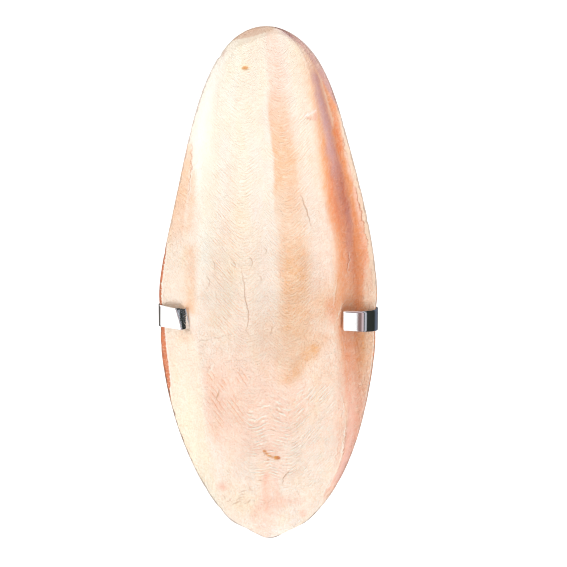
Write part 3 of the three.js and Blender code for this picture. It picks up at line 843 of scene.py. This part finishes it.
chalk = {
    "base": (254, 250, 241),
    "tints": [
        ("ivory", (254, 244, 218)),
        ("peach", (254, 231, 214)),
        ("rose", (252, 208, 187)),
        ("apricot", (243, 189, 140)),
        ("ember", (244, 156, 112)),
        # umber, mauve and tan are partly painted shade: in the valley, beside ledges and ridges, and on
        # the end face
        ("umber", (208, 152, 138)),
        ("mauve", (219, 184, 188)),
        ("frost", (253, 244, 240)),
        ("straw", (255, 236, 184)),
        ("gold", (236, 170, 96)),
        ("tan", (236, 208, 188)),
        ("shell", (236, 222, 204)),
        ("rust", (204, 114, 74)),
    ],
    "lilac": (252, 246, 246),
    "pale": (255, 251, 240),
    # painted shade for line hollows, step feet and grooves, painted highlight for crests and ledge tops,
    # and the edge line's rust with painted shade; two of these also colour pale and dark specks
    "lineShade": (248, 221, 197),
    "lineLight": (255, 249, 238),
    "bare": (219, 128, 87),
    "tornRim": (247, 226, 204),
    "tornLine": (204, 132, 96),
    "stepShadeAndSpeck": (252, 226, 200),
    "grooveShade": (208, 156, 110),
    "edgeRustAndShade": (124, 92, 76),
    "roughness": 0.82,
    "specular": 0.2,
    "mottle": 0.34,
    # relief too fine for the mesh, in millimetres
    "uneven": {"patch": 0.02, "fine": 0.2, "dust": 0.32, "wrinkles": 0.26},
    "steps": {"fine": 0.06, "strokes": 0.05, "wrinkles": 0.1},
    "waves": {"high": 0.05, "slant": 0.04, "low": 0.12},
    "cuts": 0.5,  # the share of grooves and ledges that the material adds
}


def adjusted(thing, **settings):
    for name, value in settings.items():
        setattr(thing, name, value)
    return thing


# A node with its settings and inputs. An input is a value or another node's output.
def node(tree, kind, inputs=None, **settings):
    made = adjusted(tree.nodes.new("ShaderNode" + kind), **settings)
    for name, value in (inputs or {}).items():
        if isinstance(value, bpy.types.NodeSocket):
            tree.links.new(value, made.inputs[name])
        else:
            made.inputs[name].default_value = value
    return made


def newTree(owner):
    owner.use_nodes = True
    owner.node_tree.nodes.clear()
    return owner.node_tree


# Sums on a node's output, in the tree that it belongs to
def calc(operation, first, second=0.0, clamp=False):
    inputs = {0: first, 1: second}
    return node(first.id_data, "Math", inputs, operation=operation, use_clamp=clamp).outputs[0]


def times(first, second, clamp=False):
    return calc("MULTIPLY", first, second, clamp)


def plus(first, second):
    return calc("ADD", first, second)


def minus(first, second):
    return calc("SUBTRACT", first, second)


def absolute(value):
    return calc("ABSOLUTE", value)


def centred(value, height):
    return times(minus(value, 0.5), height)


def remap(value, fromLow, fromHigh, toLow=0.0, toHigh=1.0):
    inputs = {0: value, 1: fromLow, 2: fromHigh, 3: toLow, 4: toHigh}
    return node(value.id_data, "MapRange", inputs, clamp=True).outputs[0]


def mixed(share, first, second, kind="MIX"):
    inputs = {0: share, 6: first, 7: second}
    return node(share.id_data, "Mix", inputs, data_type="RGBA", blend_type=kind).outputs[2]


def grain(place, scale, detail=2.0, roughness=0.5):
    inputs = {"Vector": place, "Scale": scale, "Detail": detail, "Roughness": roughness}
    return node(place.id_data, "TexNoise", inputs).outputs[0]


def stretched(place, scale):
    return node(place.id_data, "Mapping", {"Vector": place, "Scale": scale}).outputs[0]


def chalkMaterial():
    material = bpy.data.materials.new("chalkyBone")
    tree = newTree(material)
    colour = paint(*chalk["base"])
    height = 0.0

    def stored(name):
        return node(tree, "Attribute", attribute_name=name, attribute_type="GEOMETRY").outputs["Fac"]

    def lay(share, name, kind="MIX"):
        nonlocal colour
        colour = mixed(share, colour, paint(*chalk[name]), kind)

    def lift(rise):
        nonlocal height
        height = plus(rise, height)

    place = node(tree, "TexCoord").outputs["Object"]
    broad = grain(stretched(place, (1, 0.45, 1)), 190, 3)
    patch = grain(place, 430, 3, 0.6)
    fine = grain(place, 1350, 3, 0.6)
    dust = grain(place, 3400, 2, 0.6)
    jitter = centred(fine, 0.5)
    growthCount = stored("growth")
    wave = calc("SINE", times(plus(growthCount, jitter), 2 * math.pi))
    slantWave = calc("SINE", times(plus(stored("slant"), times(jitter, 0.6)), 2 * math.pi))

    # short strokes that lie along the growth lines
    across = node(tree, "SeparateXYZ", {0: place}).outputs
    sides = (times(across["X"], 700), times(growthCount, 1.7), times(across["Y"], 60))
    strokePlace = node(tree, "CombineXYZ", dict(zip("XYZ", sides))).outputs[0]
    strokes = grain(strokePlace, 1, 3, 0.6)
    breaks = grain(strokePlace, 0.7, 1, 0.4)
    ways = {2: grain(strokePlace, 1.3), 3: grain(stretched(place, (1450, 560, 560)), 1)}
    wrinkles = node(tree, "Mix", {0: stored("flank"), **ways}).outputs[0]
    grains = {"patch": patch, "fine": fine, "dust": dust, "strokes": strokes, "wrinkles": wrinkles}

    # the tints, each a little mottled
    mottle = plus(times(patch, 0.5), times(strokes, 0.5))
    mottle = remap(mottle, 0.34, 0.66, 1 - chalk["mottle"], 1 + chalk["mottle"])
    for name, tint in chalk["tints"]:
        colour = mixed(times(stored(name), mottle, clamp=True), colour, paint(*tint))
    lay(remap(broad, 0.52, 0.72, 0.0, 0.55), "lilac", "MULTIPLY")
    lay(remap(broad, 0.46, 0.28, 0.0, 0.6), "pale", "MULTIPLY")

    # growth lines: painted shade in their hollows near the blunt end and in the slanting lines, painted
    # highlights on their crests low in the middle
    highWaves = times(times(wave, stored("highLines")), remap(breaks, 0.42, 0.58, 0.25, 1.1))
    slantWaves = times(slantWave, stored("slantLines"))
    lowWaves = times(times(wave, stored("lowLines")), remap(breaks, 0.4, 0.56, 0.25, 1.2))
    waves = plus(highWaves, times(lowWaves, 0.5))
    lay(remap(slantWaves, -0.45, -0.95, 0.0, 0.75), "lineShade", "MULTIPLY")
    lay(remap(waves, -0.2, -0.9, 0.0, 0.6), "lineShade", "MULTIPLY")
    lay(remap(waves, 0.2, 0.9, 0.0, 0.4), "lineLight")
    lay(remap(lowWaves, 0.2, 0.8, 0.0, 0.85), "lineLight")

    # soft unevenness and little broken steps, less where the chalk is smooth, with painted shade at the
    # foot of each step, then dark and pale specks in the finest grain
    worn = stored("worn")
    for name, rise in chalk["uneven"].items():
        lift(centred(grains[name], rise))
    for name, rise in chalk["steps"].items():
        lift(times(remap(grains[name], 0.47, 0.53), rise))
        stepFoot = remap(absolute(minus(grains[name], 0.475)), 0.022, 0.0, 0.0, 0.5)
        lay(times(stepFoot, worn), "stepShadeAndSpeck", "MULTIPLY")
    height = times(height, worn)
    lay(remap(dust, 0.58, 0.72, 0.0, 0.35), "stepShadeAndSpeck", "MULTIPLY")
    lay(remap(dust, 0.42, 0.3, 0.0, 0.35), "lineLight")
    for lines, name in ((highWaves, "high"), (slantWaves, "slant"), (lowWaves, "low")):
        lift(times(lines, chalk["waves"][name]))

    # grooves and ledges, kept crisp by their distances: painted shade in the grooves and at the foot of
    # each ledge, painted highlight along each ledge top
    shake = plus(centred(fine, 0.4), centred(patch, 0.9))
    groove = plus(stored("groove"), shake)
    sunk = times(remap(absolute(groove), 0.24, 0.02), stored("grooveSize"))
    lift(times(sunk, -chalk["cuts"]))
    lay(times(sunk, 1.5, clamp=True), "grooveShade")
    ledge = plus(plus(stored("ledge"), shake), centred(patch, 1.5))
    ledgeSize = stored("ledgeSize")
    lift(times(times(remap(ledge, -0.16, 0.16), ledgeSize), chalk["cuts"]))
    shown = remap(absolute(ledgeSize), 0.05, 0.5, 0.0, 0.85)
    shown = times(shown, remap(broad, 0.4, 0.52, 0.3, 1.0))
    ledgeTop = remap(absolute(minus(ledge, 0.26)), 0.28, 0.1)
    lay(times(ledgeTop, shown), "lineLight")
    ledgeFoot = remap(absolute(plus(ledge, 0.12)), 0.2, 0.05)
    lay(times(ledgeFoot, shown), "grooveShade", "MULTIPLY")

    # the rims: pale and torn with a darker inner line on the right, bare with a light lip on the left
    rimIn = stored("rimIn")
    paleRim = stored("paleRim")
    tear = plus(centred(patch, 2.2), centred(fine, 0.9))
    tornAt = minus(minus(rimIn, tear), 1.5)
    lay(times(remap(tornAt, 0.15, -0.15, 0.0, 0.85), paleRim), "tornRim")
    broken = times(paleRim, remap(broad, 0.45, 0.6))
    lay(times(remap(absolute(tornAt), 0.3, 0.05, 0.0, 0.8), broken), "tornLine")
    bareWidth = stored("bareWidth")
    shown = remap(bareWidth, 0.15, 0.5)
    bareAt = minus(minus(rimIn, times(tear, 0.55)), bareWidth)
    lip = remap(absolute(minus(bareAt, 0.22)), 0.3, 0.05, 0.0, 0.7)
    lay(times(lip, shown), "lineLight")
    bare = times(remap(bareAt, 0.1, -0.1, 0.0, 0.95), shown)
    lay(times(bare, remap(fine, 0.36, 0.5, 0.6, 1.0)), "bare")

    # a thin darker line along the very edge, broken up: partly rust, partly painted shade of the rounded
    # edge
    edge = remap(plus(rimIn, centred(patch, 1.3)), 0.5, 0.22, 0.0, 0.85)
    lay(times(edge, stored("rimShade")), "edgeRustAndShade")

    surface = node(tree, "BsdfPrincipled", {
        "Base Color": colour,
        "Roughness": chalk["roughness"],
        "Specular IOR Level": chalk["specular"],
        "Normal": node(tree, "Bump", {"Strength": 1.0, "Distance": mm, "Height": height}).outputs[0],
    })
    node(tree, "OutputMaterial", {"Surface": surface.outputs[0]})
    return material


def makeBone():
    mesh = boneMesh()
    count = len(mesh.vertices)

    def held(values, name, parts=1):
        flat = np.zeros(count * parts, np.float32)
        values.foreach_get(name, flat)
        return flat.astype(float)

    def keep(**fields):
        for name, values in fields.items():
            layer = mesh.attributes.new(name, "FLOAT", "POINT")
            layer.data.foreach_set("value", np.asarray(values, np.float32))

    x, y, _ = held(mesh.vertices, "co", 3).reshape(-1, 3).T / mm
    rimIn, chalky = (held(mesh.attributes[name].data, "value") for name in ("rimIn", "chalky"))

    def onSides(left, right):
        return np.where(x < 0, along(rimBand[left], y), along(rimBand[right], y))

    keep(**tintsAt(x, y, rimIn, chalky))
    keep(**cutsAt(x, y, chalky))
    keep(bareWidth=onSides("left", "right"),
         rimShade=onSides("leftShade", "rightShade"),
         paleRim=along(rimBand["pale"], y) * (x > 0),
         worn=wornAt(x, y),
         flank=flankAt(x, y),
         growth=growthAt(x, y),
         slant=slantAt(x, y),
         highLines=highLines(x, y) * chalky,
         lowLines=lowLines(x, y) * chalky,
         slantLines=slantLines(x, y) * chalky)
    mesh.materials.append(chalkMaterial())
    piece = addObject("chalkyBone", mesh)
    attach(piece, "root")
    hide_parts("cuttlebone")
    return piece


chalkyBone = makeBone()
print("bone:", len(chalkyBone.data.vertices), "vertices,",
      sum(len(p.vertices) - 2 for p in chalkyBone.data.polygons), "triangles")


nickel = {
    "colour": (0.80, 0.805, 0.81, 1),
    "smudged": (0.62, 0.61, 0.58, 1),
    "roughness": (0.03, 0.1),
    "brushScale": (900, 9000, 900),
    "scratches": 0.1,
    "pits": 2.8,
    "pitted": [(-0.0272, -0.0266), (-0.0245, -0.0249)],  # X, in metres, near the left tab's free end
    "bump": {"strength": 0.5, "distance": 0.00004},
}


def nickelMaterial():
    material = bpy.data.materials.new("brightNickel")
    tree = newTree(material)
    place = node(tree, "TexCoord").outputs["Object"]
    brushed = grain(stretched(place, nickel["brushScale"]), 1, 3, 0.6)
    smudge = grain(place, 500, 3, 0.6)
    colour = mixed(remap(smudge, 0.55, 0.75, 0.0, 0.35), nickel["colour"], nickel["smudged"])
    across = node(tree, "SeparateXYZ", {0: place}).outputs["X"]
    start, end = nickel["pitted"]
    pitted = times(grain(place, 1900, 2, 0.6), times(remap(across, *start), remap(across, *end)))
    height = plus(times(brushed, nickel["scratches"]), times(pitted, nickel["pits"]))
    bump = nickel["bump"]
    inputs = {"Strength": bump["strength"], "Distance": bump["distance"], "Height": height}
    surface = node(tree, "BsdfPrincipled", {
        "Base Color": colour,
        "Metallic": 1.0,
        "Roughness": remap(smudge, 0.35, 0.7, *nickel["roughness"]),
        "Normal": node(tree, "Bump", inputs).outputs[0],
    })
    node(tree, "OutputMaterial", {"Surface": surface.outputs[0]})
    return material


def stripPlace(x, z, share):
    half = strip["width"] / 2
    side = "left" if x < 0 else "right"
    taper = strip["taper"]
    towardsEnd = np.clip((taper["from"] - abs(x)) / taper["length"], 0, 1) if z > taper["above"] else 0
    across = share * half * (1 - taper[side] * towardsEnd)
    aslant = along(strip["aslant"], x) * -share if x < 0 and z > strip["tabsAbove"] else 0
    return Vector((x + aslant, strip["y"] + strip["skew"] * x + across, z)) * mm


def makeStrip():
    shape = bmesh.new()
    line = stripLine()
    shares = np.linspace(-1, 1, strip["columns"] + 1)
    first = [shape.verts.new(stripPlace(*line[0], share)) for share in shares]
    front = [shape.edges.new(pair) for pair in zip(first, first[1:])]
    for x, z in line[1:]:
        grown = bmesh.ops.extrude_edge_only(shape, edges=front)["geom"]
        row = [g for g in grown if isinstance(g, bmesh.types.BMVert)]
        row.sort(key=lambda vert: vert.co.y)
        for vert, share in zip(row, shares):
            vert.co = stripPlace(x, z, share)
        front = [g for g in grown if isinstance(g, bmesh.types.BMEdge)]
    bmesh.ops.recalc_face_normals(shape, faces=shape.faces)
    mesh = meshFrom(shape, "nickelStrip")
    piece = addObject("nickelStrip", mesh)
    adjusted(piece.modifiers.new("wall", "SOLIDIFY"),
             thickness=strip["thickness"] * mm, offset=0, use_even_offset=True)
    adjusted(piece.modifiers.new("edges", "BEVEL"), width=strip["bevel"] * mm, segments=3,
             limit_method="ANGLE", angle_limit=math.radians(50), harden_normals=True)
    bpy.context.view_layer.update()
    rounded = piece.evaluated_get(bpy.context.evaluated_depsgraph_get())
    finished = bpy.data.meshes.new_from_object(rounded)
    piece.modifiers.clear()
    piece.data = finished
    bpy.data.meshes.remove(mesh)
    finished.shade_smooth()
    finished.set_sharp_from_angle(angle=math.radians(35))
    finished.materials.clear()
    finished.materials.append(nickelMaterial())
    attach(piece, "root")
    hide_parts("holder_strip")
    return piece


nickelStrip = makeStrip()
print("strip:", len(nickelStrip.data.polygons), "faces")


studio = {
    "floorRadius": 6.0,
    "floorGlow": 1.0,
    "dome": (0.88, 0.81, 0.76, 1),
    # place, width and power of the lamps
    "lamps": [((-0.5, -0.34, 0.44), 0.3, 2.27), ((0.55, -0.36, 0.4), 0.6, 2.9)],
    "lampColour": (0.88, 0.98, 1.07),
    # what the plating mirrors, by the angle from straight up towards +X
    "mirrored": [(-180, (0.20, 0.17, 0.15)), (-108, (0.16, 0.14, 0.13)), (-101, (1.4, 1.4, 1.4)),
                 (1.5, (1.4, 1.4, 1.4)), (3, (0.28, 0.17, 0.16)), (8, (0.32, 0.2, 0.19)),
                 (13, (0.78, 0.6, 0.62)), (19, (0.8, 0.66, 0.68)), (21.5, (0.07, 0.06, 0.07)),
                 (25, (0.08, 0.08, 0.09)), (27, (0.62, 0.62, 0.68)), (36, (0.55, 0.57, 0.64)),
                 (40, (0.035, 0.04, 0.037)), (95, (0.03, 0.034, 0.032)), (115, (0.14, 0.17, 0.24)),
                 (180, (0.2, 0.2, 0.22))],
}


def makeFloor():
    shape = bmesh.new()
    bmesh.ops.create_circle(shape, cap_ends=True, segments=96, radius=studio["floorRadius"])
    mesh = meshFrom(shape, "floor")
    material = bpy.data.materials.new("paleFloor")
    tree = newTree(material)
    glow = node(tree, "Emission", {"Color": (1, 1, 1, 1), "Strength": studio["floorGlow"]}).outputs[0]
    matt = node(tree, "BsdfDiffuse", {"Color": (0.2, 0.2, 0.2, 1)}).outputs[0]
    both = node(tree, "AddShader", {0: glow, 1: matt}).outputs[0]
    node(tree, "OutputMaterial", {"Surface": both})
    mesh.materials.append(material)
    floor = addObject("floor", mesh)
    floor.visible_glossy = False


def makeWorld():
    world = bpy.data.worlds.new("softStudio")
    bpy.context.scene.world = world
    tree = newTree(world)
    parts = node(tree, "SeparateXYZ", {0: node(tree, "TexCoord").outputs["Generated"]}).outputs
    angle = calc("ARCTAN2", parts["X"], parts["Z"])
    ramp = node(tree, "ValToRGB", {0: remap(angle, -math.pi, math.pi)})
    stops = ramp.color_ramp.elements
    stops.remove(stops[1])
    stops[0].color = (*studio["mirrored"][0][1], 1)
    for degrees, colour in studio["mirrored"][1:]:
        stops.new((degrees + 180) / 360).color = (*colour, 1)
    mirrored = node(tree, "Background", {"Color": ramp.outputs[0], "Strength": 1.0}).outputs[0]
    dome = node(tree, "Background", {"Color": studio["dome"], "Strength": 1.0}).outputs[0]
    glossy = node(tree, "LightPath").outputs["Is Glossy Ray"]
    both = node(tree, "MixShader", {0: glossy, 1: dome, 2: mirrored}).outputs[0]
    node(tree, "OutputWorld", {"Surface": both})


def makeLamps():
    for place, width, power in studio["lamps"]:
        light = adjusted(bpy.data.lights.new("softbox", "AREA"), shape="SQUARE", size=width)
        adjusted(light, energy=power, color=studio["lampColour"])
        lamp = addObject("softbox", light)
        lamp.location = place
        lamp.rotation_euler = Vector(place).to_track_quat("Z", "Y").to_euler()
        lamp.visible_glossy = False


camera = {"place": (0.00475338, 0.09420100, 0.48196485), "tilt": 11.0, "lens": 100.0, "sensor": 36.0}


def makeCamera():
    eye = adjusted(bpy.data.cameras.new("camera"), lens=camera["lens"], sensor_width=camera["sensor"],
                   sensor_fit="HORIZONTAL", clip_start=0.01, clip_end=50)
    seen = addObject("camera", eye)
    tilt = Matrix.Rotation(-math.radians(camera["tilt"]), 4, "X")
    seen.matrix_world = Matrix.Translation(camera["place"]) @ tilt
    bpy.context.scene.camera = seen


makeFloor()
makeWorld()
makeLamps()
makeCamera()
scene = bpy.context.scene
scene.view_settings.view_transform = "Standard"
scene.view_settings.look = "None"
adjusted(scene.cycles, use_denoising=True, filter_width=1.1, max_bounces=6, diffuse_bounces=3)
print("studio ready")
